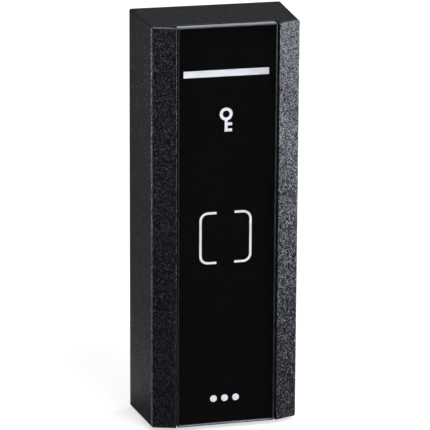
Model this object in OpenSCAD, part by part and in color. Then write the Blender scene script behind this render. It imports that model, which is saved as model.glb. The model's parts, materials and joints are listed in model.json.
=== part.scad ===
// Narrow wall-mounted RFID card reader.
// Origin: centre of the wall-screw pattern, on the wall plane. +Y goes into the wall, +Z is up, the glass faces -Y.
// A "depth" below is a distance out from the wall, so a point at depth d has y = -d.

/* [Body] */
// Width of the housing at the wall
body_w = 49; // [44:0.5:60]
// Height of the housing at the wall
body_h = 130; // [126:1:160]
// Depth from the wall to the ridges beside the glass
body_d = 27.9; // [26:0.1:34]
// How far each side leans in between the wall and the facet
side_draft = 0.95; // [0.3:0.05:1.6]
// How far each end leans in between the wall and the facet
end_draft = 0.8; // [0.3:0.05:1.6]
// Width of the sloped facet between a side and its ridge
facet_w = 7.2; // [5:0.1:8]
// How far the ridge stands in front of the facet's outer edge
facet_rise = 2.6; // [1.5:0.1:3.6]
// Corner radius of the outline at the wall
corner_r = 1.1; // [0.6:0.1:3]
// Radius of the edge between side and facet
edge_r = 0.6; // [0.3:0.1:1.2]
// Radius of the ridge beside the glass
ridge_r = 0.4; // [0.2:0.1:0.6]
// Wall of the housing around the rear opening
rim_t = 2.1; // [1.6:0.1:3]
// Ledge that the rear seal lies on
ledge_w = 1.8; // [1.4:0.1:3]
// Floor between the glass channel and the board chamber
floor_t = 1.8; // [1.2:0.1:3]
// Gap between the housing's rim and the wall
rim_gap = 0.4; // [0.3:0.05:0.8]

/* [Glass and print] */
// Thickness of the front glass
glass_t = 3; // [2:0.1:4]
// Shadow gap on each side of the glass
glass_gap = 0.3; // [0.2:0.05:0.8]
// How far the glass sits behind the ridges
glass_sink = 0.1; // [0:0.05:0.4]
// Ground chamfer around the glass
glass_chamfer = 0.3; // [0.2:0.05:0.8]
// Thickness of the print on the back of the glass
ink_t = 0.15; // [0.1:0.05:0.3]
// Thickness of the adhesive tape behind the glass
tape_t = 0.6; // [0.4:0.1:1]
// Width of the adhesive tape's long strips
tape_strip = 3.4; // [2:0.2:6]

/* [Marks] */
// Length of the light bar's window
bar_w = 27.1; // [20:0.1:27.4]
// Height of the light bar's window
bar_h = 2.1; // [1.2:0.1:3]
// Light bar's centre below the top end
bar_drop = 16.1; // [15:0.1:20]
// Height of the key mark
key_h = 7.6; // [5:0.1:9]
// Key mark's centre below the top end
key_drop = 30.8; // [28:0.1:36]
// Size across of the reading-zone mark
zone_w = 16.8; // [12:0.1:22]
// Reading-zone mark's centre above the body's centre
zone_z = -3.4; // [-10:0.1:10]
// Line width of the reading-zone mark
zone_line = 0.75; // [0.5:0.05:1.5]
// Gap in the middle of the reading-zone mark
zone_gap = 5.8; // [3:0.1:9]
// Diameter of each foot dot
dot_d = 2.2; // [1:0.1:3]
// Spacing of the foot dots
dot_pitch = 3.6; // [3.2:0.1:5]
// Foot dots' centre above the bottom end
dot_rise = 9.1; // [6:0.1:14]

/* [Wall plate] */
// Thickness of the wall plate
plate_t = 1.5; // [1.2:0.1:2]
// Gap between the plate's edge and the housing's wall
plate_gap = 0.7; // [0.4:0.1:1.5]
// Corner radius of the wall plate
plate_r = 2.5; // [1:0.5:4]
// Spacing of the two wall-screw slots
slot_pitch = 83.3; // [70:0.1:90]
// Width of each wall-screw slot
slot_w = 4.4; // [3.5:0.1:6]
// Length of each wall-screw slot
slot_l = 8; // [6:0.5:12]
// Width of the cable opening
cable_w = 26; // [22:1:30]
// Height of the cable opening
cable_h = 44; // [40:1:50]
// Width of each hook on the plate's top edge
hook_w = 9; // [6:0.5:12]
// Distance between the hooks' centres
hook_pitch = 25; // [20:1:28]
// Clearance around the hooks in the housing's groove
hook_gap = 0.4; // [0.3:0.05:0.6]
// Width of the lock tab on the plate's bottom edge
tab_w = 14; // [10:0.5:20]
// How far the lock tab stands out from the wall
tab_l = 12.5; // [11:0.5:15]
// Lock tab's lower face above the bottom end
tab_rise = 8.4; // [7.8:0.1:9]

/* [Lock screw] */
// Thread diameter of the lock screw
lock_d = 3; // [2.5:0.1:3.6]
// Head diameter of the lock screw
lock_head_d = 5.4; // [4.8:0.1:6.6]
// Head height of the lock screw
lock_head_h = 1.6; // [1.2:0.1:1.8]
// Travel of the lock screw between loose and tight
lock_travel = 3.4; // [2.4:0.1:3.4]
// Gap between the loose screw's tip and the lock tab
lock_clear = 0.6; // [0.5:0.1:0.8]
// Height of the clinch nut on the lock tab
nut_h = 2; // [1.6:0.1:2.2]
// Radial clearance around the lock screw
lock_gap = 0.15; // [0.1:0.05:0.3]

/* [Rear cover] */
// Thickness of the rear cover
cover_t = 1.6; // [1.2:0.1:2]
// Depth of the rear cover's back face
cover_back = 4.7; // [4.5:0.1:6]
// Thickness of the rear seal
seal_t = 0.6; // [0.4:0.1:1]
// Play around the rear cover
cover_gap = 0.3; // [0.2:0.05:0.5]
// Depth of the wiring pocket's inside
pocket_d = 4.5; // [3:0.1:4.6]
// Thread diameter of the rear cover's screws
cover_screw_d = 2.5; // [2:0.1:3]

/* [Boards] */
// Thickness of the main board
board_t = 1.6; // [1.2:0.1:2]
// Gap between the rear cover's pocket and the main board
board_gap = 2; // [1.8:0.1:3]
// Play around the boards
board_play = 0.5; // [0.3:0.1:1]
// Thread diameter of the main board's screws
board_screw_d = 2; // [1.6:0.1:2.5]
// Thickness of the antenna board
antenna_t = 0.8; // [0.6:0.1:1.2]
// Turns of the antenna coil
coil_turns = 5; // [3:1:6]
// Number of terminals
poles = 8; // [4:1:10]
// Spacing of the terminals
pole_pitch = 3.5; // [3.5:0.1:4]
// Diameter of the tamper plunger
plunger_d = 2.8; // [2:0.1:3.4]
// Travel of the tamper plunger
plunger_travel = 1.2; // [0.8:0.1:1.6]

/* [Hidden] */
$fn = 48;
eps = 0.01;

// Outside of the housing
half_w = body_w / 2;
half_h = body_h / 2;
side_d = body_d - facet_rise;
shoulder_x = half_w - side_draft;
shoulder_z = half_h - end_draft;
ridge_x = shoulder_x - facet_w;
ridge_z = half_h - end_draft * body_d / side_d;

// Glass channel, from the ridges back to its floor
channel_x = ridge_x - ridge_r * 0.75;
glass_front = body_d - glass_sink;
ink_front = glass_front - glass_t;
tape_front = ink_front - ink_t;
channel_d = tape_front - tape_t;
floor_back = channel_d - floor_t;
glass_w = 2 * (channel_x - glass_gap);
glass_h = 2 * (ridge_z - 0.1);

// Marks
bar_z = half_h - bar_drop;
key_z = half_h - key_drop;
dot_z = -half_h + dot_rise;

// Rooms inside the housing
room_x = half_w - rim_t;
chamber_x = room_x - ledge_w;
end_z = half_h - rim_t - 0.1;
seal_d = cover_back + cover_t;
ledge_d = seal_d + seal_t;
rib_t = 1.7;
top_z = end_z - 4.6;
chamber_top = top_z - rib_t;
chamber_bottom = -end_z + 12.5;
low_z = chamber_bottom - rib_t;

// Hooks and the pivot they make in the housing's groove
pivot_d = plate_t + 0.7 + plate_t / 2;
pivot_z = end_z - 0.2;
plate_top = pivot_z - 3.4;
groove_r = plate_t / 2 + hook_gap;
groove_front = pivot_d + groove_r;
rail_h = 1.4;
rail_t = 1.4;

// Lock tab and its screw
tab_z = -half_h + tab_rise;
lock_y = -8.4;
lock_len = tab_z + plate_t + nut_h - 0.9 - (-half_h + 5.6);
lock_tip = tab_z - lock_clear;
lock_seat = lock_tip - lock_len + lock_travel;
boss_top = tab_z - 1;
boss_w = lock_head_d + 2 * lock_gap + 3.6;

// Boards
pocket_floor = cover_back + pocket_d;
pocket_t = 1.2;
board_back = pocket_floor + pocket_t + board_gap;
board_front = board_back + board_t;
board_w = 2 * (chamber_x - board_play);
post_d = 6.4;
post_inset = post_d / 2 - 0.3;
post_x = chamber_x - post_inset;
post_top = chamber_top - post_inset;
post_bottom = chamber_bottom + post_inset;
board_top = post_top - post_d / 2 - board_play;
board_bottom = post_bottom + post_d / 2 + board_play;
peg_d = 5;
peg_x = board_w / 2 - 3.5;
peg_top = bar_z - 7;
peg_bottom = board_bottom + 4.2;
antenna_back = floor_back - 0.5 - antenna_t;
antenna_top = bar_z - 5;
antenna_bottom = board_bottom;
antenna_w = 2 * (peg_x + 1.8);
ferrite_t = 0.4;

// Terminals and wiring pocket
block_x = 7.6;
block_w = 8.4;
block_l = poles * pole_pitch + 1;
block_back = plate_t + 2.4;
pocket_w = cable_w - 0.8;
pocket_l = cable_h - 6;

// Places of the parts on the boards
shield_pos = [7.5, pocket_l / 2 + 12];
shield_size = [16, 17, 2.8];
buzzer_pos = [-9.5, pocket_l / 2 + 10];
buzzer_d = 10;
chip_pos = [-11, -pocket_l / 2 - 9];
plunger_pos = [0, -pocket_l / 2 - 11];
capacitor_pos = [11, -pocket_l / 2 - 9];
link_z = antenna_top - 12;

BLACK = "#1c1c1e";
INK = "#070708";
WHITE = "#e8ebf0";
STEEL = "#b9bcc0";
BRASS = "#c8a24a";
BOARD = "#17502f";
RUBBER = "#2a2a2c";
CHIP = "#141416";

// ---- Helpers: all depths run out from the wall ----

// Box between two depths, centred on (x, z)
module slab(w, h, d0, d1, x = 0, z = 0)
    translate([x - w / 2, -d1, z - h / 2]) cube([w, d1 - d0, h]);

// Round bar between two depths
module rod(d, d0, d1, x = 0, z = 0)
    translate([x, -d0, z]) rotate([90, 0, 0]) cylinder(d = d, h = d1 - d0);

// Rectangle with round corners
module rounded(w, h, r) {
    square([w - 2 * r, h], center = true);
    square([w, h - 2 * r], center = true);
    for (sx = [-1, 1], sz = [-1, 1])
        translate([sx * (w / 2 - r), sz * (h / 2 - r)]) circle(r);
}

// Upright slot with round ends
module slot(w, l) {
    square([w, l - w], center = true);
    for (s = [-1, 1]) translate([0, s * (l - w) / 2]) circle(d = w);
}

// Outline in X and Z, made solid between two depths
module sheet(d0, d1, z = 0)
    translate([0, -d0, z]) rotate([90, 0, 0]) linear_extrude(d1 - d0) children();

// Outline in depth and Z, made solid along X
module profile(w, x = 0)
    translate([x - w / 2, 0, 0]) rotate([90, 0, 90]) linear_extrude(w) mirror([1, 0]) children();

// Every corner of a rectangle: two x places and two z places
module corners(x, z_low, z_high)
    for (sx = [-1, 1], z = [z_low, z_high]) translate([sx * x, 0, z]) children();

// ---- Wall side ----

// Stamped steel plate: slots for the wall screws, cable opening, two joggled hooks and the lock tab
module wall_plate() {
    plate_w = 2 * (room_x - plate_gap);
    joggle = pivot_d - plate_t / 2;
    color(STEEL) {
        difference() {
            sheet(0, plate_t, (plate_top + tab_z) / 2) rounded(plate_w, plate_top - tab_z, plate_r);
            sheet(-1, plate_t + 1) rounded(cable_w, cable_h, 2);
            for (sz = [-1, 1])
                sheet(-1, plate_t + 1, sz * slot_pitch / 2) slot(slot_w, slot_l);
        }
        for (sx = [-1, 1])
            profile(hook_w, sx * hook_pitch / 2) {
                polygon([[0, plate_top - 3], [plate_t, plate_top - 3], [plate_t, pivot_z - 3.7],
                         [joggle + plate_t, pivot_z - 2.3], [joggle + plate_t, pivot_z], [joggle, pivot_z],
                         [joggle, pivot_z - 1.7], [0, pivot_z - 3.1]]);
                translate([pivot_d, pivot_z]) circle(plate_t / 2);
            }
        difference() {
            slab(tab_w, plate_t, 0, tab_l, 0, tab_z + plate_t / 2);
            translate([0, lock_y, tab_z - 1]) cylinder(d = lock_d + 2 * lock_gap, h = plate_t + 2);
        }
    }
}

// Clinch nut on the lock tab
module lock_nut()
    color(STEEL) difference() {
        translate([0, lock_y, tab_z + plate_t]) cylinder(d = lock_d + 3, h = nut_h);
        translate([0, lock_y, tab_z]) cylinder(d = lock_d + 2 * lock_gap, h = plate_t + nut_h + 1);
    }

// ---- Housing ----

// Outside form: round corners at the wall, drafted sides, two facets that rise to the ridges
module housing_blank()
    hull() {
        for (sx = [-1, 1], sz = [-1, 1])
            translate([sx * (half_w - corner_r), -rim_gap, sz * (half_h - corner_r)])
                rotate([90, 0, 0]) cylinder(r = corner_r, h = eps, $fn = 32);
        for (sx = [-1, 1], sz = [-1, 1]) {
            translate([sx * (shoulder_x - edge_r), edge_r - side_d, sz * (shoulder_z - edge_r)])
                sphere(edge_r, $fn = 24);
            translate([sx * ridge_x, ridge_r - body_d, sz * (ridge_z - ridge_r)]) sphere(ridge_r, $fn = 24);
        }
    }

// Rooms: rear opening, board chamber, hook room at the top and lock room at the bottom
module housing_rooms() {
    slab(2 * room_x, 2 * end_z, rim_gap - 1, ledge_d);
    slab(2 * chamber_x, chamber_top - chamber_bottom, ledge_d - 1, floor_back, 0, (chamber_top + chamber_bottom) / 2);
    slab(2 * chamber_x, end_z - top_z, ledge_d - 1, floor_back, 0, (end_z + top_z) / 2);
    slab(2 * chamber_x, end_z + low_z, ledge_d - 1, floor_back, 0, (low_z - end_z) / 2);
}

// Rail for the hooks, posts for the cover's screws, pegs for the boards and the lock screw's boss
module housing_inside() {
    slab(2 * room_x + 1, 2 * rail_h, rim_gap, groove_front + rail_t, 0, end_z);
    corners(post_x, post_bottom, post_top) rod(post_d, seal_d, floor_back + 1);
    corners(peg_x, peg_bottom, peg_top) {
        rod(peg_d, board_front, floor_back + 1);
        rod(peg_d + 2, antenna_back + antenna_t, floor_back + 1);
    }
    slab(boss_w, boss_top + end_z + 1, rim_gap + 1.6, floor_back + 1, 0, (boss_top - end_z - 1) / 2);
}

// Holes: light window, screw pilots, insert seats, hook pockets and the lock screw's stepped hole
module housing_holes() {
    slab(bar_w + 1.3, bar_h + 0.9, floor_back - 1, channel_d + 1, 0, bar_z);
    corners(peg_x, peg_bottom, peg_top) rod(board_screw_d, board_front - 1, board_front + 6);
    corners(post_x, post_bottom, post_top) rod(cover_screw_d + 1.34, seal_d - 1, seal_d + 5.6);
    for (sx = [-1, 1])
        profile(hook_w + 2 * hook_gap, sx * hook_pitch / 2) {
            translate([pivot_d - groove_r, pivot_z - 2 * rail_h]) square([2 * groove_r, 2 * rail_h]);
            translate([pivot_d, pivot_z]) circle(groove_r);
        }
    translate([0, lock_y, -half_h - 1]) cylinder(d = lock_head_d + 2 * lock_gap, h = lock_seat + half_h + 1);
    translate([0, lock_y, lock_seat - 1]) cylinder(d = lock_d + 2 * lock_gap, h = boss_top - lock_seat + 2);
}

// Moulded housing with the glass channel open at both ends
module front_housing()
    color(BLACK) difference() {
        housing_blank();
        difference() {
            housing_rooms();
            housing_inside();
        }
        slab(2 * channel_x, body_h + 2, channel_d, body_d + 1);
        housing_holes();
    }

// ---- Glass and what lies on its back ----

// Tempered glass with a ground chamfer all round its front edge
module front_glass()
    color([0.75, 0.8, 0.84, 0.35]) difference() {
        slab(glass_w, glass_h, ink_front, glass_front);
        for (s = [-1, 1]) {
            translate([s * glass_w / 2, -glass_front, 0]) rotate([0, 0, 45])
                cube([glass_chamfer * sqrt(2), glass_chamfer * sqrt(2), glass_h + 2], center = true);
            translate([0, -glass_front, s * glass_h / 2]) rotate([45, 0, 0])
                cube([glass_w + 2, glass_chamfer * sqrt(2), glass_chamfer * sqrt(2)], center = true);
        }
    }

// Upright key: ring, shaft and two bits
module key_shape() {
    ring_d = key_h * 0.54;
    line = key_h * 0.125;
    difference() {
        union() {
            translate([0, (key_h - ring_d) / 2]) circle(d = ring_d);
            translate([-line / 2, -key_h / 2]) square([line, key_h - ring_d / 2]);
        }
        translate([0, (key_h - ring_d) / 2]) circle(d = ring_d - 2 * line);
    }
    for (z = [0, 2 * line])
        translate([0, z - key_h / 2]) square([line * 2, line]);
}

// Two square brackets with round corners that face each other
module zone_shape()
    difference() {
        rounded(zone_w, zone_w, zone_w / 6);
        rounded(zone_w - 2 * zone_line, zone_w - 2 * zone_line, zone_w / 6 - zone_line);
        square([zone_gap, zone_w + 1], center = true);
    }

// Row of three dots
module dots_shape()
    for (k = [-1 : 1]) translate([k * dot_pitch, 0]) circle(d = dot_d);

// Black print over the whole back of the glass, with every mark left out of it
module glass_ink()
    color(INK) difference() {
        slab(glass_w, glass_h, tape_front, ink_front);
        slab(bar_w, bar_h, tape_front - 1, ink_front + 1, 0, bar_z);
        sheet(tape_front - 1, ink_front + 1, key_z) key_shape();
        sheet(tape_front - 1, ink_front + 1, zone_z) zone_shape();
        sheet(tape_front - 1, ink_front + 1, dot_z) dots_shape();
    }

module light_window() color(WHITE) slab(bar_w, bar_h, tape_front, ink_front, 0, bar_z);
module key_mark() color(WHITE) sheet(tape_front, ink_front, key_z) key_shape();
module zone_mark() color(WHITE) sheet(tape_front, ink_front, zone_z) zone_shape();
module foot_dots() color(WHITE) sheet(tape_front, ink_front, dot_z) dots_shape();

// Double-sided tape: a frame around the channel floor, notched for the light guide
module glass_tape()
    color(RUBBER) difference() {
        slab(glass_w - 0.4, glass_h - 1, channel_d, tape_front);
        slab(glass_w - 0.4 - 2 * tape_strip, glass_h - 1 - 2 * tape_strip, channel_d - 1, tape_front + 1);
        slab(bar_w + 1.3, bar_h + 0.9, channel_d - 1, tape_front + 1, 0, bar_z);
    }

// ---- Light bar ----

// Milky bar: stem towards the lamps, flange against the floor, head in the window
module light_guide()
    color("#eef0ea") {
        slab(bar_w + 0.9, bar_h + 0.5, floor_back - 1, tape_front - 0.05, 0, bar_z);
        slab(bar_w + 0.9, bar_h + 3, floor_back - 1.2, floor_back, 0, bar_z);
        slab(bar_w - 1, bar_h, board_front + 1.2, floor_back - 1, 0, bar_z);
    }

module status_leds()
    color("#f3efd8") for (k = [-2 : 2])
        slab(2, 1.6, board_front, board_front + 0.9, k * (bar_w - 5) / 4, bar_z);

// ---- Antenna ----

// Board that hangs on the four pegs, close behind the channel floor
module antenna_board()
    color(BOARD) difference() {
        slab(antenna_w, antenna_top - antenna_bottom, antenna_back, antenna_back + antenna_t,
             0, (antenna_top + antenna_bottom) / 2);
        corners(peg_x, peg_bottom, peg_top) rod(peg_d + 0.4, antenna_back - 1, antenna_back + antenna_t + 1);
    }

// Flat rectangular spiral on the antenna board's front
module antenna_coil() {
    line = 0.6;
    pitch = 1.3;
    a = peg_x - peg_d / 2 - 1.6;
    b = (antenna_top - antenna_bottom) / 2 - 1.5;
    z0 = (antenna_top + antenna_bottom) / 2;
    front = antenna_back + antenna_t;
    color("#c07a3c") for (k = [0 : coil_turns - 1]) {
        x = a - k * pitch;
        z = b - k * pitch;
        start = k == 0 ? z : z + pitch;
        slab(line, z + start, front, front + 0.2, x, z0 + (z - start) / 2);
        slab(2 * x + line, line, front, front + 0.2, 0, z0 + z);
        slab(line, 2 * z + line, front, front + 0.2, -x, z0);
        slab(2 * x - pitch + line, line, front, front + 0.2, -pitch / 2, z0 - z);
    }
}

module ferrite_sheet()
    color("#3c3a38") slab(2 * (peg_x - peg_d / 2 - 1), link_z - antenna_bottom - 6, antenna_back - ferrite_t, antenna_back,
                          0, (link_z + antenna_bottom - 4) / 2);

// Pin link between the antenna board and the main board
module board_link() {
    color(CHIP) slab(10, 2.5, board_front, board_front + 2.5, 0, link_z);
    color(BRASS) for (k = [-1.5 : 1.5])
        slab(0.64, 0.64, board_front + 2.5, antenna_back, k * 2.54, link_z);
}

// ---- Main board and its parts ----

module main_board()
    color(BOARD) difference() {
        slab(board_w, board_top - board_bottom, board_back, board_front, 0, (board_top + board_bottom) / 2);
        corners(peg_x, peg_bottom, peg_top) rod(board_screw_d + 0.3, board_back - 1, board_front + 1);
    }

// Pan-head screw that points forward, with a cross recess in its head
module pan_screw(d, head_d, head_h, len, depth)
    difference() {
        union() {
            rod(head_d, depth - head_h, depth);
            rod(d, depth - eps, depth + len);
        }
        for (turn = [0, 90])
            rotate([0, turn, 0]) slab(head_d * 0.6, 0.5, depth - head_h - 1, depth - head_h * 0.4);
    }

module board_screws()
    color(STEEL) corners(peg_x, peg_bottom, peg_top)
        pan_screw(board_screw_d - 0.1, board_screw_d * 1.9, 1.4, board_t + 5, board_back);

module controller_chip()
    color(CHIP) slab(9, 9, board_back - 1.3, board_back, chip_pos[0], chip_pos[1]);

module radio_chip()
    color(CHIP) slab(6, 6, board_back - 0.9, board_back, shield_pos[0], shield_pos[1]);

// Pressed lid over the radio chip
module shield_can()
    color(STEEL) difference() {
        slab(shield_size[0], shield_size[1], board_back - shield_size[2], board_back, shield_pos[0], shield_pos[1]);
        slab(shield_size[0] - 0.6, shield_size[1] - 0.6, board_back - shield_size[2] + 0.3, board_back + 1,
             shield_pos[0], shield_pos[1]);
    }

module crystal()
    color(STEEL) slab(5, 3.2, board_back - 1.1, board_back, chip_pos[0], chip_pos[1] - 8);

module capacitor()
    color("#8f969c") rod(6.3, board_back - 5.2, board_back, capacitor_pos[0], capacitor_pos[1]);

// Round sounder with its sound hole
module buzzer()
    color(CHIP) difference() {
        rod(buzzer_d, board_back - 4.6, board_back, buzzer_pos[0], buzzer_pos[1]);
        rod(2, board_back - 5, board_back - 3, buzzer_pos[0], buzzer_pos[1]);
    }

// Switch body with the plunger's bore
module tamper_switch()
    color(CHIP) difference() {
        slab(6, 6, board_back - 4.4, board_back, plunger_pos[0], plunger_pos[1]);
        rod(plunger_d + 0.16, board_back - 5, board_back - 1, plunger_pos[0], plunger_pos[1]);
    }

// Plunger that the wall plate holds in while the reader is closed
module tamper_plunger() {
    tip = plate_t + 0.1;
    color("#d8d4c8") rod(plunger_d, tip, board_back - 2 - plunger_travel / 2, plunger_pos[0], plunger_pos[1]);
}

// ---- Terminals ----

// Places each terminal of the row
module each_pole()
    for (k = [0 : poles - 1]) translate([0, 0, (k - (poles - 1) / 2) * pole_pitch]) children();

// Terminal row: wire mouths on the pocket's side, screw wells on the back
module terminal_block()
    color("#2f6f4a") difference() {
        slab(block_w, block_l, block_back, board_back, block_x);
        each_pole() {
            slab(5.6, 2.6, block_back + 2, pocket_floor - 0.2, block_x - block_w / 2 + 1.8);
            rod(2.9, block_back - 1, block_back + 2.2, block_x - 0.6);
        }
    }

// Pressed cage in each wire mouth
module terminal_clamps()
    color(STEEL) each_pole() difference() {
        slab(3.6, 2.5, block_back + 2.05, pocket_floor - 0.25, block_x - block_w / 2 + 2.6);
        slab(4, 1.7, block_back + 2.45, pocket_floor - 0.65, block_x - block_w / 2 + 2.6);
    }

module terminal_screws()
    color(STEEL) each_pole() difference() {
        rod(2.7, block_back + 0.4, block_back + 2, block_x - 0.6);
        slab(3, 0.5, block_back, block_back + 1, block_x - 0.6);
    }

// ---- Rear cover ----

// Brass inserts in the four posts
module rear_inserts()
    color(BRASS) corners(post_x, post_bottom, post_top) difference() {
        rod(cover_screw_d + 1.3, seal_d + 0.1, seal_d + 5.4);
        rod(cover_screw_d + 0.1, seal_d, seal_d + 6);
    }

// Seal between the ledge and the cover
module rear_seal()
    color(RUBBER) {
        mid = (chamber_top + chamber_bottom) / 2;
        high = chamber_top - chamber_bottom;
        difference() {
            slab(2 * (chamber_x + ledge_w - 0.3), high + 2 * (ledge_w - 0.3), seal_d, ledge_d, 0, mid);
            slab(2 * chamber_x + 0.8, high + 0.8, seal_d - 1, ledge_d + 1, 0, mid);
        }
    }

// Cover with the wiring pocket sunk in its middle, around the terminal row
module rear_cover() {
    cover_w = 2 * (room_x - cover_gap);
    top = chamber_top + ledge_w - cover_gap;
    bottom = chamber_bottom - ledge_w + cover_gap;
    color(BLACK) difference() {
        union() {
            slab(cover_w, top - bottom, cover_back, seal_d, 0, (top + bottom) / 2);
            slab(pocket_w + 2 * pocket_t, pocket_l + 2 * pocket_t, cover_back, pocket_floor + pocket_t);
        }
        slab(pocket_w, pocket_l, cover_back - 1, pocket_floor);
        slab(block_w + 0.3, block_l + 0.3, pocket_floor - 1, pocket_floor + pocket_t + 1, block_x);
        rod(plunger_d + 0.6, cover_back - 1, seal_d + 1, plunger_pos[0], plunger_pos[1]);
        corners(post_x, post_bottom, post_top) rod(cover_screw_d + 0.4, cover_back - 1, seal_d + 1);
    }
}

module rear_cover_screws()
    color(STEEL) corners(post_x, post_bottom, post_top)
        pan_screw(cover_screw_d, cover_screw_d * 1.8, 1.5, cover_t + 4.6, cover_back);

// ---- Lock screw ----

// Screw in its loose place: head in the counterbore, tip just below the tab; pin-hex drive
module lock_screw() {
    seat = lock_tip - lock_len;
    color(STEEL) translate([0, lock_y, 0]) difference() {
        union() {
            translate([0, 0, seat - lock_head_h]) cylinder(d = lock_head_d, h = lock_head_h);
            translate([0, 0, seat - eps]) cylinder(d = lock_d, h = lock_len);
        }
        translate([0, 0, seat - lock_head_h - 1]) cylinder(d = 2.6, h = 2, $fn = 6);
    }
}

wall_plate();
lock_nut();
front_housing();
front_glass();
glass_ink();
light_window();
key_mark();
zone_mark();
foot_dots();
glass_tape();
light_guide();
status_leds();
antenna_board();
antenna_coil();
ferrite_sheet();
board_link();
main_board();
board_screws();
controller_chip();
radio_chip();
shield_can();
crystal();
capacitor();
buzzer();
tamper_switch();
terminal_block();
terminal_clamps();
terminal_screws();
rear_inserts();
rear_seal();
rear_cover();
rear_cover_screws();
tamper_plunger();
lock_screw();
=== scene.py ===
"""Narrow wall-mounted RFID card reader: dressed pieces, finishes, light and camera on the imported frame.

Lengths are in millimetres until a mesh is filled, and a "depth" runs out from the wall: depth d is y = -d.
"""
import json
import math

import bmesh
import bpy
import numpy as np
from mathutils import Matrix, Vector

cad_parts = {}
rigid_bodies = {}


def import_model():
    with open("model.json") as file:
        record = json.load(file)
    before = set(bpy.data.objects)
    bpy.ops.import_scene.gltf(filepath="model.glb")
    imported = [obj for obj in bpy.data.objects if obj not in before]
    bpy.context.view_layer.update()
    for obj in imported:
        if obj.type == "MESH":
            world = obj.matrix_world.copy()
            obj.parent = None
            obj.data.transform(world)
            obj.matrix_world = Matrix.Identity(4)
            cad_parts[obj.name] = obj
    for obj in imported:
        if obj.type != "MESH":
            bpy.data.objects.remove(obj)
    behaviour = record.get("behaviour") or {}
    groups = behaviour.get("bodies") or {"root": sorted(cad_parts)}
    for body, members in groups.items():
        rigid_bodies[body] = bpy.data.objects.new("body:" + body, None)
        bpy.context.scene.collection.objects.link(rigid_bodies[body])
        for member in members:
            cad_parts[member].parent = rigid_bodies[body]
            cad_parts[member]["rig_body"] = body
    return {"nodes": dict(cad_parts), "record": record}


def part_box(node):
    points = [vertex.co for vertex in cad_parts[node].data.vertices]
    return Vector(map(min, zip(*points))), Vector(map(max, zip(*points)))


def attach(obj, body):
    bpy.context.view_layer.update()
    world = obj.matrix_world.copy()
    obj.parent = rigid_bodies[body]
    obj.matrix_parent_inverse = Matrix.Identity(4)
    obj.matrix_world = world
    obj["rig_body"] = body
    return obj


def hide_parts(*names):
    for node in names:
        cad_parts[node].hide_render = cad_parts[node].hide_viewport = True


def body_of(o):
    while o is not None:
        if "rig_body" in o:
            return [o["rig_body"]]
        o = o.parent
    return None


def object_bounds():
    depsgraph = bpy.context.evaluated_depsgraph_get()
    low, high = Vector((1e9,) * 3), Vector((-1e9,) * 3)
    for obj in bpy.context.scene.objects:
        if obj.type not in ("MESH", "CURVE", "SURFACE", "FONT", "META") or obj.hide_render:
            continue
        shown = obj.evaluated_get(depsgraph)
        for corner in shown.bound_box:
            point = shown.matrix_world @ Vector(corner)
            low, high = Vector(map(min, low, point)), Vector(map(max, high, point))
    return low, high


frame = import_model()
cad_low, cad_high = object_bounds()
nodes = frame["nodes"]
slot_of = {part["node"]: part["material_slot"] for part in frame["record"]["subparts"]}
MM = 0.001
NOISE = (0.3, 0.7)          # band that holds nearly all values of a noise texture
ROUGH_SWING = 0.04          # how far a plain finish's roughness drifts to each side
GRAIN_SWING = 0.03          # the same for the moulded grain
HIGHLIGHT_D, HIGHLIGHT_X = 24.6, 16.9   # edges beyond this depth and this far from the middle get a painted highlight


# ---------------------------------------------------------------- colour and nodes

def tone(code):
    """Linear RGBA from an sRGB hex code: c/12.92 below 0.04045, else ((c + 0.055)/1.055)^2.4."""
    s = np.array([int(code[k:k + 2], 16) for k in (1, 3, 5)]) / 255
    lin = np.where(s <= 0.04045, s / 12.92, ((s + 0.055) / 1.055) ** 2.4)
    return (*lin.tolist(), 1.0)


def add(tree, kind, settings=None, **inputs):
    """One node with its settings and inputs: i0, i1... by number, and others by name with _ for a space."""
    node = tree.nodes.new(kind)
    for key, value in (settings or {}).items():
        setattr(node, key, value)
    for key, value in inputs.items():
        by_number = key[0] == "i" and key[1:].isdigit()
        socket = node.inputs[int(key[1:]) if by_number else key.replace("_", " ")]
        if isinstance(value, bpy.types.NodeSocket):
            tree.links.new(value, socket)
        else:
            socket.default_value = value
    return node


def calc(tree, operation, *values):
    """Output of a Math node, or of a Vector Math node for the operations on vectors."""
    kind = "ShaderNodeMath"
    if operation in ("VECTOR_ADD", "VECTOR_SUBTRACT", "NORMALIZE"):
        kind = "ShaderNodeVectorMath"
        operation = operation.removeprefix("VECTOR_")
    inputs = {f"i{k}": value for k, value in enumerate(values)}
    return add(tree, kind, {"operation": operation}, **inputs).outputs[0]


def remap(tree, value, before, after):
    """Value brought linearly from one range to another and held at its ends."""
    return add(tree, "ShaderNodeMapRange", Value=value, From_Min=before[0], From_Max=before[1],
               To_Min=after[0], To_Max=after[1]).outputs[0]


def finish(name):
    """New material with an empty tree, its output and the piece's own coordinates."""
    mat = bpy.data.materials.new(name)
    mat.use_nodes = True
    mat.node_tree.nodes.clear()
    tree = mat.node_tree
    where = add(tree, "ShaderNodeTexCoord").outputs["Object"]
    return mat, tree, where


def blend(tree, stops, fac):
    """Colour ramp over fac from (place, hex) stops."""
    n = add(tree, "ShaderNodeValToRGB", Fac=fac)
    ramp = n.color_ramp
    while len(ramp.elements) < len(stops):
        ramp.elements.new(0.5)
    for element, (place, code) in zip(ramp.elements, stops):
        element.position = place
        element.color = tone(code)
    return n.outputs["Color"]


def drift(tree, low, high, noise):
    """Colour that drifts between two hex tones with a noise."""
    return blend(tree, [(NOISE[0], low), (NOISE[1], high)], noise)


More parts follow.
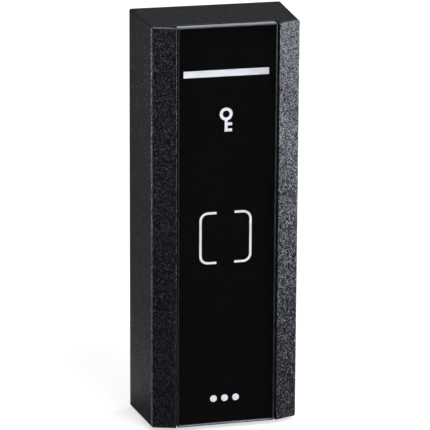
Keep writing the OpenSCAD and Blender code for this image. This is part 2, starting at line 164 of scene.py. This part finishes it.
def grain(tree, where, size, detail=2.0, roughness=0.5, stretch=(1, 1, 1)):
    """Noise whose lumps are size millimetres across, stretched along an axis where its factor is below 1."""
    scaled = add(tree, "ShaderNodeMapping", Vector=where, Scale=stretch)
    return add(tree, "ShaderNodeTexNoise", Vector=scaled.outputs[0], Scale=1 / (size * MM),
               Detail=detail, Roughness=roughness).outputs["Fac"]


def spread(tree, noise, middle, swing):
    """Noise as a value that drifts by swing to each side of a middle."""
    return remap(tree, noise, NOISE, (middle - swing, middle + swing))


def relief(tree, height, depth):
    """Bump of depth millimetres."""
    return add(tree, "ShaderNodeBump", Height=height, Distance=depth * MM, Strength=1.0).outputs[0]


def surface(tree, shader):
    """Gives a shader to the material's output."""
    add(tree, "ShaderNodeOutputMaterial", Surface=shader)


def moulding(name, body, crest, grain_mm, tilt, rough, highlight=None):
    """Plastic moulded against a spark-eroded tool: small flat grains, each tilted its own way, that sparkle.

    A grain's normal is the surface's plus tilt * (the grain's random colour - 0.5). Real grains are about
    0.2 mm across and are drawn at one and a half times that so that they show. With highlight tones the front
    edges are coloured paler: a painted highlight line along them.
    """
    mat, tree, where = finish(name)
    cells = add(tree, "ShaderNodeTexVoronoi", Vector=where, Scale=1 / (grain_mm * MM)).outputs["Color"]
    shade = add(tree, "ShaderNodeSeparateColor", Color=cells).outputs[2]
    colour = blend(tree, [(0.55, body), (0.95, crest)], shade)
    # Painted highlight: front edges beyond a depth and away from the middle take paler tones
    if highlight:
        place = add(tree, "ShaderNodeSeparateXYZ", Vector=where).outputs
        front = calc(tree, "LESS_THAN", place["Y"], -HIGHLIGHT_D * MM)
        aside = calc(tree, "GREATER_THAN", calc(tree, "ABSOLUTE", place["X"]), HIGHLIGHT_X * MM)
        highlit = blend(tree, [(0.1, highlight[0]), (0.9, highlight[1])], shade)
        colour = add(tree, "ShaderNodeMix", {"data_type": "RGBA"}, i0=calc(tree, "MULTIPLY", front, aside),
                     i6=colour, i7=highlit).outputs[2]
    lean = calc(tree, "VECTOR_SUBTRACT", cells, (0.5, 0.5, 0.5))
    lean = add(tree, "ShaderNodeVectorMath", {"operation": "SCALE"}, i0=lean, Scale=tilt).outputs[0]
    lean = calc(tree, "VECTOR_ADD", lean, add(tree, "ShaderNodeNewGeometry").outputs["Normal"])
    shader = add(tree, "ShaderNodeBsdfPrincipled", Base_Color=colour, IOR=1.54, Specular_Tint=tone("#dde3f0"),
                 Roughness=spread(tree, grain(tree, where, 8.0), rough, GRAIN_SWING),
                 Normal=calc(tree, "NORMALIZE", lean))
    surface(tree, shader.outputs[0])
    return mat


def clear_glass(name):
    """Float glass, polished: nearly colourless, mirror-like at a grazing look; lamps shine through it."""
    mat, tree, where = finish(name)
    film = grain(tree, where, 16.0)
    glass = add(tree, "ShaderNodeBsdfPrincipled", Base_Color=tone("#fafbfc"), IOR=1.5,
                Transmission_Weight=1.0, Roughness=spread(tree, film, 0.025, 0.01))
    path = add(tree, "ShaderNodeLightPath").outputs["Is Shadow Ray"]
    through = add(tree, "ShaderNodeBsdfTransparent", Color=tone("#f5f6f8"))
    both = add(tree, "ShaderNodeMixShader", i0=path, i1=glass.outputs[0], i2=through.outputs[0])
    surface(tree, both.outputs[0])
    return mat


def ground_glass(name, low, high, rough):
    """Edge of the glass as ground on a fine belt: frosted, blue-grey, with faint lines along it."""
    mat, tree, where = finish(name)
    lines = grain(tree, where, 0.5, 3.0, 0.6, (0.1, 1, 0.1))
    shader = add(tree, "ShaderNodeBsdfPrincipled", Base_Color=drift(tree, low, high, lines), IOR=1.5,
                 Roughness=spread(tree, lines, rough, 0.06), Normal=relief(tree, lines, 0.02))
    surface(tree, shader.outputs[0])
    return mat


def plain(name, low, high, size, rough, bump=0.0, metal=0.0, stretch=(1, 1, 1), specular=0.5):
    """Colour that drifts between two tones over lumps of a given size, with matching roughness and bump."""
    mat, tree, where = finish(name)
    lumps = grain(tree, where, size, 3.0, 0.55, stretch)
    extra = {} if metal else {"IOR": 1.5}
    if bump:
        extra["Normal"] = relief(tree, lumps, bump)
    shader = add(tree, "ShaderNodeBsdfPrincipled", Base_Color=drift(tree, low, high, lumps), Metallic=metal,
                 Roughness=spread(tree, lumps, rough, ROUGH_SWING), Specular_IOR_Level=specular, **extra)
    surface(tree, shader.outputs[0])
    return mat


# ---------------------------------------------------------------- mesh making

def piece(name, verts, faces, body, mats, which=None, smooth=True):
    """Object from vertices in (x, depth, z) millimetres and faces that point outwards."""
    v = np.asarray(verts, float) * [MM, -MM, MM]
    mesh = bpy.data.meshes.new(name)
    mesh.from_pydata(v.tolist(), [], [list(f) for f in faces])
    mesh.update()
    mesh.polygons.foreach_set("use_smooth", np.full(len(mesh.polygons), smooth))
    for m in mats:
        mesh.materials.append(m)
    if which is not None:
        mesh.polygons.foreach_set("material_index", np.asarray(which, dtype=np.int32))
    obj = bpy.data.objects.new(name, mesh)
    bpy.context.scene.collection.objects.link(obj)
    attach(obj, body)
    return obj


def cell_walls(full):
    """Quads between a full grid cell and an empty one, as corner indices, turned away from the full cell.

    Along an axis the cells' step from empty to full is +1 and from full to empty is -1; x, depth and z make
    a left-handed set, so a quad that turns from the next axis to the one after it looks down the axis.
    """
    quads = []
    for axis in range(3):
        margin = [(int(k == axis),) * 2 for k in range(3)]
        step = np.diff(np.pad(full.astype(np.int8), margin), axis=axis)
        corner = np.argwhere(step)
        b, c = np.eye(3, dtype=int)[[(axis + 1) % 3, (axis + 2) % 3]]
        turn = np.array([0 * b, b, b + c, c])
        quad = corner[:, None, :] + turn[None]
        flip = step[tuple(corner.T)] < 0
        quad[flip] = quad[flip][:, ::-1]
        quads.append(quad)
    return np.concatenate(quads)


def sharp_edges(points, quads, limit=25.0):
    """Edges of a quad mesh (vertex pairs, low first) whose two faces meet at more than limit degrees."""
    normal = np.cross(points[quads[:, 2]] - points[quads[:, 0]], points[quads[:, 3]] - points[quads[:, 1]])
    normal /= np.linalg.norm(normal, axis=1)[:, None]
    pairs = np.sort(np.stack([quads, np.roll(quads, -1, axis=1)], -1).reshape(-1, 2), axis=1)
    face = np.repeat(np.arange(len(quads)), 4)
    order = np.lexsort((pairs[:, 1], pairs[:, 0]))
    pairs, face = pairs[order].reshape(-1, 2, 2)[:, 0], face[order].reshape(-1, 2)
    bend = np.einsum("ij,ij->i", normal[face[:, 0]], normal[face[:, 1]])
    return pairs[bend < math.cos(math.radians(limit))]


def soften(obj, pairs, widths, segments=3):
    """Bevel whose width in millimetres is given edge by edge; its faces take the mesh's last material."""
    mesh = obj.data
    ends = np.empty(len(mesh.edges) * 2, dtype=np.int64)
    mesh.edges.foreach_get("vertices", ends)
    ends = np.sort(ends.reshape(-1, 2), axis=1)
    total = len(mesh.vertices)
    key, wanted = ends @ [total, 1], pairs @ [total, 1]
    order = np.argsort(key)
    weight = np.zeros(len(key))
    weight[order[np.searchsorted(key[order], wanted)]] = widths
    layer = mesh.attributes.new("bevel_weight_edge", "FLOAT", "EDGE")
    layer.data.foreach_set("value", weight.astype(np.float32))
    bevel = obj.modifiers.new("Edges", "BEVEL")
    bevel.limit_method = "WEIGHT"
    bevel.width = MM
    bevel.segments = segments
    bevel.use_clamp_overlap = False
    bevel.harden_normals = True
    bevel.material = len(mesh.materials) - 1


def rounded(half_x, half_z, radius, count=6):
    """Rectangle with round corners as points: four quarter circles about the corners' centres."""
    turn = np.linspace(0, math.pi / 2, count)[None, :] + np.arange(4)[:, None] * math.pi / 2
    sx, sz = np.array([1, -1, -1, 1])[:, None], np.array([1, 1, -1, -1])[:, None]
    x = sx * (half_x - radius) + radius * np.cos(turn)
    z = sz * (half_z - radius) + radius * np.sin(turn)
    return np.stack([x.ravel(), z.ravel()], 1)


def stacked(rings, depths):
    """Surface through outlines (ring, point, xz) at given depths, closed by a flat face at each end."""
    rings = np.asarray(rings, float)
    m, n = rings.shape[:2]
    depth = np.broadcast_to(np.asarray(depths, float)[:, None], (m, n))
    verts = np.stack([rings[..., 0], depth, rings[..., 1]], -1).reshape(-1, 3)
    r, p = np.meshgrid(np.arange(m - 1), np.arange(n), indexing="ij")
    q = (p + 1) % n
    quads = np.stack([r * n + p, r * n + q, (r + 1) * n + q, (r + 1) * n + p], -1).reshape(-1, 4)
    ends = [list(range(n))[::-1], [(m - 1) * n + k for k in range(n)]]
    return verts, quads.tolist() + ends


# ---------------------------------------------------------------- finishes

# Spark-eroded grain that breaks every reflection on the black into small sparks
HOUSING = moulding("black spark-textured ABS", "#09090c", "#202228", 0.3, 0.36, 0.32)
# The same grain, a touch smoother, with a painted highlight: the front edges are coloured paler to draw a
# thin light line
HIGHLIT_EDGES = moulding("black ABS, rubbed edge", "#09090c", "#202228", 0.3, 0.4, 0.3, ("#2c2e34", "#5e626a"))
# Deep clear face that gives back only what stands at a shallow angle to it
GLASS = clear_glass("polished float glass")
# Frosted grey line at the glass's ends
EDGE = ground_glass("ground glass edge", "#7f868e", "#989fa7", 0.45)
# Dark line round the glass where the chamfer looks into the black print
SEAM = ground_glass("seamed glass chamfer", "#26282d", "#34373d", 0.3)
# Deep even black behind the glass, with no shine of its own
INK = plain("black screen print", "#040405", "#060607", 6.0, 0.5, specular=0.0)
# Clean, cool white marks with the ink's faint mottling
PRINT = plain("white screen print", "#e6e9ee", "#eef1f5", 1.2, 0.5)
# Milky, even window of the light bar
OPAL = plain("opal acrylic", "#dfe2e8", "#e9ebef", 5.0, 0.35)
# Dull, finely pitted black
TAPE = plain("black foam tape", "#161617", "#242426", 0.5, 0.85, 0.08)
# Pale yellow, wet-looking lamp bodies
LAMP = plain("yellow lamp resin", "#e9e2b8", "#f6f0cf", 0.8, 0.3)
# Half-gloss green that is slightly uneven over the board's weave
BOARD = plain("green solder mask", "#10402a", "#17553a", 3.0, 0.35, 0.01)
# Warm, bright metal tracks
COPPER = plain("bare copper", "#b9703f", "#cf8a55", 0.8, 0.3, 0.0, 1.0)
# Matt charcoal with a sandy grain
FERRITE = plain("sintered ferrite", "#2c2a29", "#413e3b", 0.7, 0.6, 0.02)
# Matt near-black with a fine grain
CHIP = plain("moulded epoxy", "#121214", "#1c1c1f", 0.3, 0.6, 0.01)
# Cool grey metal with the rolling's upright streaks, drawn coarser than the real ones
STEEL = plain("zinc-plated steel", "#b4b8bc", "#cfd2d5", 0.6, 0.38, 0.004, 1.0, (1, 1, 0.12))
# Bright, clean silver can
ALUMINIUM = plain("drawn aluminium", "#c3c6ca", "#d9dbde", 0.8, 0.25, 0.0, 1.0)
# Satin green plastic
TERMINAL = plain("green polyamide", "#1c6a3e", "#237a49", 1.2, 0.45, 0.01)
# Soft yellow metal, half bright
BRASS = plain("nickelled brass", "#b59a5e", "#cdb47a", 0.8, 0.3, 0.0, 1.0)
# Dull dark rubber
SEAL = plain("silicone rubber", "#1c1d1f", "#2a2b2e", 0.8, 0.7, 0.02)
# Waxy off-white plastic
PLUNGER = plain("acetal", "#d8d6d0", "#e6e4de", 1.0, 0.4)

FINISHES = {"housing": HOUSING, "glass": GLASS, "ink": INK, "print": PRINT, "diffuser": OPAL, "tape": TAPE,
            "led": LAMP, "board": BOARD, "copper": COPPER, "ferrite": FERRITE, "chip": CHIP, "steel": STEEL,
            "aluminium": ALUMINIUM, "terminal": TERMINAL, "brass": BRASS, "seal": SEAL, "plunger": PLUNGER}
for node, slot in slot_of.items():
    mats = nodes[node].data.materials
    for k in range(len(mats)):
        mats[k] = FINISHES[slot]


# ---------------------------------------------------------------- housing

def extent(node):
    """A node's half width, near and far depth, and low and high z, in millimetres."""
    low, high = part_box(node)
    return high[0] / MM, -high[1] / MM, -low[1] / MM, low[2] / MM, high[2] / MM


half_w, rim_d, _, _, half_h = extent("front_housing")
glass_x, ink_front, glass_front, _, glass_z = extent("front_glass")
_, channel_d, _, _, _ = extent("glass_tape")
_, _, ledge_d, _, _ = extent("rear_seal")
bar_x, _, _, bar_low, bar_high = extent("light_window")
_, lock_near, lock_far, _, _ = extent("lock_screw")
# Floor under the glass, gap beside the glass, side walls, end walls and the seal's ledge
FLOOR_T, GLASS_GAP, RIM_T, END_T, LEDGE_W = 1.8, 0.3, 2.1, 2.2, 1.8
FLOOR_D = channel_d - FLOOR_T
CHANNEL_X = glass_x + GLASS_GAP
ROOM_X, CHAMBER_X, ROOM_Z = half_w - RIM_T, half_w - RIM_T - LEDGE_W, half_h - END_T
# The light bar's slot through the floor
SLOT_X, SLOT_Z = bar_x + 0.65, (bar_low - 0.45, bar_high + 0.45)
# Rooms behind the floor: the boards' chamber, the hooks' room above it and the lock's room below it
CHAMBER_Z, HOOK_ROOM_Z, LOCK_ROOM_Z = (-50.3, 56.5), 58.2, -52.0
# Rail across the top with a round-topped pocket for each hook
RAIL_Z, RAIL_D = 61.4, 5.5
POCKET_X, POCKET_D, POCKET_R, PIVOT_Z = (7.6, 17.4), 2.95, 1.15, 62.6
# Boss of the lock screw with the seat of its head
BOSS_X, BOSS_D, BOSS_Z, SEAT_Z = 4.65, 2.0, -57.6, -59.2
LOCK_D, HEAD_R, SHANK_R = (lock_near + lock_far) / 2, 2.85, 1.65
# Draft of the sides and ends, and the sloped plane of the facets
LEAN_D = 24.3
SIDE_LEAN, END_LEAN = 0.95 / LEAN_D, 0.8 / LEAN_D
FACET_SLOPE, RIDGE_X, RIDGE_D = 0.3917, 16.496, 27.872
# Rings of cells round the lock screw: its shank's hole is the first four, and its head's all five
RING = 5
# Bevel widths by the two surfaces that meet, later ones on top; every other edge gets the first
INNER_EDGE = 0.12
EDGES = [("rim", "x", 0.25), ("rim", "z", 0.25), ("front", "z", 0.42), ("front", "x", 0.4),
         ("front", "ridge", 0.5), ("ridge", "z", 0.3), ("x", "z", 0.8)]


def housing():
    """Housing carved from a block of cells whose planes are then bent to the real form.

    Outside, x = w - lean * depth and z = h - lean * depth, and the front plane that makes the two facets is
    depth = ridge - slope * (|x| - ridge x). The planes' crossings round the lock screw are drawn on circles:
    a crossing (i, j) lies at radius max(|i|, |j|), turned 45 degrees times the smaller index over the larger.
    The ceiling of a hook pocket is z = pivot + sqrt(r^2 - (depth - pivot depth)^2).
    """
    ring = np.arange(-RING, RING + 1)
    side = np.array([BOSS_X, POCKET_X[0], SLOT_X, CHANNEL_X, POCKET_X[1], CHAMBER_X, ROOM_X, half_w])
    xs = np.concatenate([-side[::-1], ring * HEAD_R / RING, side])
    arc = POCKET_D - POCKET_R * np.cos(np.linspace(0, math.pi, 9))
    arc = np.sort(np.append(arc, BOSS_D))
    # Planes that are bent into the lock screw's rings; away from it one of them is the ledge
    bent = np.array([5.8, 6.35, ledge_d, 7.5, 8.0, 8.4, 8.9, 9.4, 9.9, 10.5, 11.1])
    ds = np.concatenate([[rim_d], arc, [RAIL_D], bent, [FLOOR_D, channel_d, RIDGE_D]])
    zs = np.array([-half_h, -ROOM_Z, SEAT_Z, BOSS_Z, LOCK_ROOM_Z, CHAMBER_Z[0], *SLOT_Z,
                   CHAMBER_Z[1], HOOK_ROOM_Z, RAIL_Z, ROOM_Z, half_h])

    x, d, z = np.meshgrid(*[(a[1:] + a[:-1]) / 2 for a in (xs, ds, zs)], indexing="ij")
    x = abs(x)
    # Block, less the glass's channel, the opening at the wall, the rooms and the light bar's slot
    full = np.ones(x.shape, bool)
    full &= ~((x < CHANNEL_X) & (d > channel_d))
    full &= ~((x < ROOM_X) & (abs(z) < ROOM_Z) & (d < ledge_d))
    rooms = (z > CHAMBER_Z[0]) & (z < CHAMBER_Z[1]) | (z > HOOK_ROOM_Z) | (z < LOCK_ROOM_Z)
    full &= ~((x < CHAMBER_X) & (abs(z) < ROOM_Z) & (d < FLOOR_D) & rooms)
    full &= ~((x < SLOT_X) & (z > SLOT_Z[0]) & (z < SLOT_Z[1]) & (d > FLOOR_D))
    # Rail less its hook pockets, and boss less the lock screw's stepped hole
    full |= (z > RAIL_Z) & (d < RAIL_D)
    full &= ~((x > POCKET_X[0]) & (x < POCKET_X[1]) & (z > RAIL_Z) & (z < ROOM_Z)
              & (abs(d - POCKET_D) < POCKET_R))
    full |= (x < BOSS_X) & (z < BOSS_Z) & (d > BOSS_D) & (d < channel_d)
    near = len(ds) - 3 - len(bent)
    i = abs(np.arange(len(xs) - 1) + 0.5 - (len(xs) - 1) / 2)[:, None, None]
    j = abs(np.arange(len(ds) - 1) + 0.5 - (near + RING))[None, :, None]
    across = np.maximum(i, j)
    full &= ~((across < RING) & (z < SEAT_Z)) & ~((across < RING - 1) & (z < BOSS_Z))

    # Corners of the cells, moved onto the pocket ceilings, the facets and the leaning faces
    px, pd, pz = np.meshgrid(xs, ds, zs, indexing="ij")
    index = np.stack(np.meshgrid(*[np.arange(len(a)) for a in (xs, ds, zs)], indexing="ij"), -1)
    outer_x = (index[..., 0] == 0) | (index[..., 0] == len(xs) - 1)
    outer_z = (index[..., 2] == 0) | (index[..., 2] == len(zs) - 1)
    front = index[..., 1] == len(ds) - 1
    pocket = (abs(pd - POCKET_D) < POCKET_R + 0.01) & (abs(px) > POCKET_X[0] - 0.01) \
        & (abs(px) < POCKET_X[1] + 0.01) & (index[..., 2] == len(zs) - 2)
    pz = np.where(pocket, PIVOT_Z + np.sqrt(np.maximum(POCKET_R ** 2 - (pd - POCKET_D) ** 2, 0)), pz)
    facet = RIDGE_D - FACET_SLOPE * (abs(px) - RIDGE_X)
    side_x = (half_w - SIDE_LEAN * (RIDGE_D + FACET_SLOPE * RIDGE_X - rim_d)) / (1 - SIDE_LEAN * FACET_SLOPE)
    pd = np.where(front, np.where(outer_x, RIDGE_D - FACET_SLOPE * (side_x - RIDGE_X), facet), pd)
    px = np.where(outer_x, np.sign(px) * (half_w - SIDE_LEAN * (pd - rim_d)), px)
    pz = np.where(outer_z, np.sign(pz) * (half_h - END_LEAN * (pd - rim_d)), pz)

    # Corners round the lock screw, moved onto circles
    ci = index[..., 0] - (len(xs) - 1) // 2
    cj = index[..., 1] - (near + RING)
    most = np.maximum(abs(ci), abs(cj))
    wide = abs(ci) >= abs(cj)
    small = np.where(wide, cj, ci) / np.maximum(most, 1)
    radius = np.where(most == RING, HEAD_R, SHANK_R * most / (RING - 1))
    along, aside = np.cos(math.pi / 4 * small) * radius, np.sin(math.pi / 4 * small) * radius
    hole = (most <= RING) & (index[..., 2] <= 3)
    px = np.where(hole, np.where(wide, np.sign(ci) * along, aside), px)
    pd = np.where(hole, LOCK_D + np.where(wide, aside, np.sign(cj) * along), pd)
    pz = np.where(hole & outer_z, -(half_h - END_LEAN * (pd - rim_d)), pz)

    # Only the corners that a wall uses are kept
    quads = cell_walls(full)
    flat = np.ravel_multi_index(np.moveaxis(quads, -1, 0), px.shape)
    used, small_index = np.unique(flat, return_inverse=True)
    faces = small_index.reshape(-1, 4)
    points = np.stack([px.ravel(), pd.ravel(), pz.ravel()], 1)[used]
    obj = piece("moulded_housing", points, faces.tolist(), "reader", [HOUSING, HIGHLIT_EDGES])

    pairs = sharp_edges(points * [1, -1, 1], faces)
    planes = {"x": outer_x, "z": outer_z, "front": front, "rim": index[..., 1] == 0,
              "ridge": abs(abs(px) - CHANNEL_X) < 1e-6}
    both = {name: at.ravel()[used][pairs].all(axis=1) for name, at in planes.items()}
    widths = np.full(len(pairs), INNER_EDGE)
    for one, other, width in EDGES:
        widths[both[one] & both[other]] = width
    # The bevels take the last material, the one with the painted edge highlight
    soften(obj, pairs, widths)
    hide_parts("front_housing")


housing()


# Screw posts and board pegs, by the node that each holds: (radius, depth) from the bore's end, out round the
# rim and down into the floor
FOOT_D = FLOOR_D + 0.1
POSTS = {"rear_inserts": [(1.92, 11.9), (1.92, 6.3), (3.2, 6.3), (3.2, FOOT_D)],
         "board_screws": [(1.0, 20.0), (1.0, 14.0), (2.5, 14.0), (2.5, 21.75), (3.5, 21.75), (3.5, FOOT_D)]}
HELD_R = 1.9                # radius of an insert and of a board screw's head


def posts():
    """Posts and pegs on the housing's floor: x = cx + r cos t, z = cz + r sin t, stacked by depth."""
    turn = np.linspace(0, 2 * math.pi, 32, endpoint=False)
    circle = np.stack([np.cos(turn), np.sin(turn)], 1)
    verts, faces = [], []
    for node, steps in POSTS.items():
        reach, _, _, low_z, high_z = extent(node)
        for x in (reach - HELD_R, HELD_R - reach):
            for z in (low_z + HELD_R, high_z - HELD_R):
                points, rims = stacked([circle * r + (x, z) for r, _ in steps], [d for _, d in steps])
                first = sum(len(v) for v in verts)
                faces += [[first + k for k in face] for face in rims]
                verts.append(points)
    piece("posts_and_pegs", np.concatenate(verts), faces, "reader", [HOUSING], smooth=False)


posts()


# ---------------------------------------------------------------- glass

def glass():
    """Glass plate: outlines shrunk by an (inset, depth), which gives the front edge its ground chamfer.

    The wall's first band is frosted at the two ends; every other band of it is the dark seam.
    """
    steps = [(0.12, ink_front - 0.04), (0.0, ink_front + 0.08), (0.0, glass_front - 0.32),
             (0.03, glass_front - 0.27), (0.27, glass_front - 0.03), (0.36, glass_front)]
    rings = [rounded(glass_x - inset, glass_z - inset, 0.5 - inset * 0.6) for inset, _ in steps]
    verts, faces = stacked(rings, [d for _, d in steps])
    ends = np.abs(verts[[f[0] for f in faces[:-2]], 2]) > glass_z - 0.45
    band = np.repeat([0, 0, 1, 1, 1], len(rings[0]))
    which = np.concatenate([np.where(ends & (band == 0), 1, 2), [0, 0]])
    obj = piece("glass_plate", verts, faces, "reader", [GLASS, EDGE, SEAM], which, smooth=False)
    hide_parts("front_glass")

glass()


# ---------------------------------------------------------------- stamped, moulded and turned parts

def broken_edges(node, width, segments=2):
    """The node's own form with broken edges: a merged copy, bevelled where faces meet at over 30 degrees."""
    source = nodes[node]
    bm = bmesh.new()
    bm.from_mesh(source.data)
    bmesh.ops.remove_doubles(bm, verts=bm.verts, dist=0.002 * MM)
    bmesh.ops.dissolve_limit(bm, angle_limit=math.radians(1), verts=bm.verts, edges=bm.edges)
    mesh = bpy.data.meshes.new(node + "_edged")
    bm.to_mesh(mesh)
    bm.free()
    for m in source.data.materials:
        mesh.materials.append(m)
    mesh.polygons.foreach_set("use_smooth", np.full(len(mesh.polygons), True))
    obj = bpy.data.objects.new(node + "_edged", mesh)
    bpy.context.scene.collection.objects.link(obj)
    bevel = obj.modifiers.new("Edges", "BEVEL")
    bevel.limit_method = "ANGLE"
    bevel.angle_limit = math.radians(30)
    bevel.width = width * MM
    bevel.segments = segments
    bevel.use_clamp_overlap = True
    flat = obj.modifiers.new("Flat faces", "WEIGHTED_NORMAL")
    flat.weight = 100
    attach(obj, body_of(source)[0])
    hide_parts(node)


BROKEN = {"wall_plate": 0.18, "lock_nut": 0.15, "rear_cover": 0.25, "terminal_block": 0.2,
          "terminal_screws": 0.08, "terminal_clamps": 0.1, "lock_screw": 0.15, "rear_cover_screws": 0.12,
          "shield_can": 0.2, "buzzer": 0.3, "capacitor": 0.4}
for node, width in BROKEN.items():
    broken_edges(node, width)


# ---------------------------------------------------------------- floor, light and camera

WHITE = (1, 1, 1, 1)
# Place, width and height in metres, and watts. The two side boxes are low strips so that they graze the sides
# and leave the top face dark
LAMPS = {"front_left": ((-0.55, -0.85, 0.22), 0.25, 0.35, 1.15),
         "front_high": ((0.2, -0.55, 0.85), 0.4, 0.4, 8.0),
         "side_right": ((0.47, -0.23, 0.01), 0.6, 0.14, 2.9),
         "side_left": ((-0.45, 0.13, 0.0), 0.4, 0.12, 0.9),
         "top": ((-0.1, 0.05, 1.0), 0.7, 0.7, 4.0),
         "back_right": ((1.0, 0.6, 0.5), 0.6, 0.8, 6.5)}
# Camera: azimuth, elevation and roll in degrees, place in metres, lens in millimetres
LOOK = (-15.048, 15.554, 0.296)
STAND = (-0.2461, -0.9286, 0.2642)
LENS = 262.6


def studio_floor():
    """Pale floor that is white to the camera, grows whiter far off, and is dim in reflections.

    Reflections still see a paler card behind the reader and to its right, which lights the right facet.
    """
    half, floor_z = 4, cad_low[2] - 0.3 * MM
    corners = [(-half, -half, floor_z), (half, -half, floor_z), (half, half, floor_z), (-half, half, floor_z)]
    mesh = bpy.data.meshes.new("floor")
    mesh.from_pydata(corners, [], [(0, 1, 2, 3)])
    floor = bpy.data.objects.new("floor", mesh)
    bpy.context.scene.collection.objects.link(floor)
    mat, tree, where = finish("pale studio floor")
    path = add(tree, "ShaderNodeLightPath").outputs
    paper = drift(tree, "#b9b9b9", "#bcbcbc", grain(tree, where, 60))
    matte = add(tree, "ShaderNodeBsdfDiffuse", Color=paper).outputs[0]
    far = add(tree, "ShaderNodeVectorMath", {"operation": "LENGTH"}, i0=where).outputs["Value"]
    reach = remap(tree, far, (0.25, 1.2), (0.62, 1.0))
    glow = add(tree, "ShaderNodeEmission", Color=WHITE, Strength=reach).outputs[0]
    lit = add(tree, "ShaderNodeAddShader", i0=matte, i1=glow).outputs[0]
    place = add(tree, "ShaderNodeSeparateXYZ", Vector=where).outputs
    behind = remap(tree, place["Y"], (0.0, 0.02), (0.0, 0.45))
    beside = remap(tree, place["X"], (-0.06, 0.0), (0.0, 1.0))
    card = calc(tree, "MULTIPLY_ADD", behind, beside, 0.06)
    dim = add(tree, "ShaderNodeEmission", Color=WHITE, Strength=card).outputs[0]
    seen = add(tree, "ShaderNodeMixShader", i0=path["Is Camera Ray"], i1=matte, i2=lit).outputs[0]
    glossy = add(tree, "ShaderNodeMixShader", i0=path["Is Glossy Ray"], i1=seen, i2=dim).outputs[0]
    surface(tree, glossy)
    mesh.materials.append(mat)


def studio_world():
    """World that is white to the camera and a dim fill, brighter behind, to everything else."""
    world = bpy.data.worlds.new("studio")
    world.use_nodes = True
    tree = world.node_tree
    tree.nodes.clear()
    path = add(tree, "ShaderNodeLightPath").outputs
    way = add(tree, "ShaderNodeTexCoord").outputs["Generated"]
    ahead = add(tree, "ShaderNodeSeparateXYZ", Vector=way).outputs["Y"]
    fill = remap(tree, ahead, (-0.2, 0.7), (0.05, 0.11))
    white = add(tree, "ShaderNodeBackground", Color=WHITE, Strength=1.0).outputs[0]
    soft = add(tree, "ShaderNodeBackground", Color=WHITE, Strength=fill).outputs[0]
    both = add(tree, "ShaderNodeMixShader", i0=path["Is Camera Ray"], i1=soft, i2=white).outputs[0]
    add(tree, "ShaderNodeOutputWorld", Surface=both)
    bpy.context.scene.world = world


def studio_lamps():
    """Soft boxes aimed at the reader's middle and hidden from the camera."""
    target = Vector((0, -0.014, 0))
    for name, (place, width, height, watts) in LAMPS.items():
        lamp = bpy.data.lights.new(name, "AREA")
        lamp.shape = "RECTANGLE"
        lamp.size = width
        lamp.size_y = height
        lamp.energy = watts
        obj = bpy.data.objects.new(name, lamp)
        obj.location = place
        obj.visible_camera = False
        obj.rotation_euler = (target - obj.location).to_track_quat("-Z", "Y").to_euler()
        bpy.context.scene.collection.objects.link(obj)


def camera():
    """Camera 15 degrees to the left and 15.5 above, its axes found from azimuth, elevation and roll."""
    azimuth, elevation, roll = (math.radians(a) for a in LOOK)
    back = Vector((math.sin(azimuth) * math.cos(elevation), -math.cos(azimuth) * math.cos(elevation),
                   math.sin(elevation)))
    right = (-back).cross(Vector((0, 0, 1))).normalized()
    up = right.cross(-back)
    r = right * math.cos(roll) + up * math.sin(roll)
    u = up * math.cos(roll) - right * math.sin(roll)
    data = bpy.data.cameras.new("camera")
    data.lens = LENS
    data.sensor_width = 36
    data.clip_start = 0.01
    data.clip_end = 20
    cam = bpy.data.objects.new("camera", data)
    axes = Matrix((r, u, back)).transposed().to_4x4()
    axes.translation = Vector(STAND)
    cam.matrix_world = axes
    bpy.context.scene.collection.objects.link(cam)
    bpy.context.scene.camera = cam


studio_floor()
studio_world()
studio_lamps()
camera()
bpy.context.scene.view_settings.view_transform = "Standard"
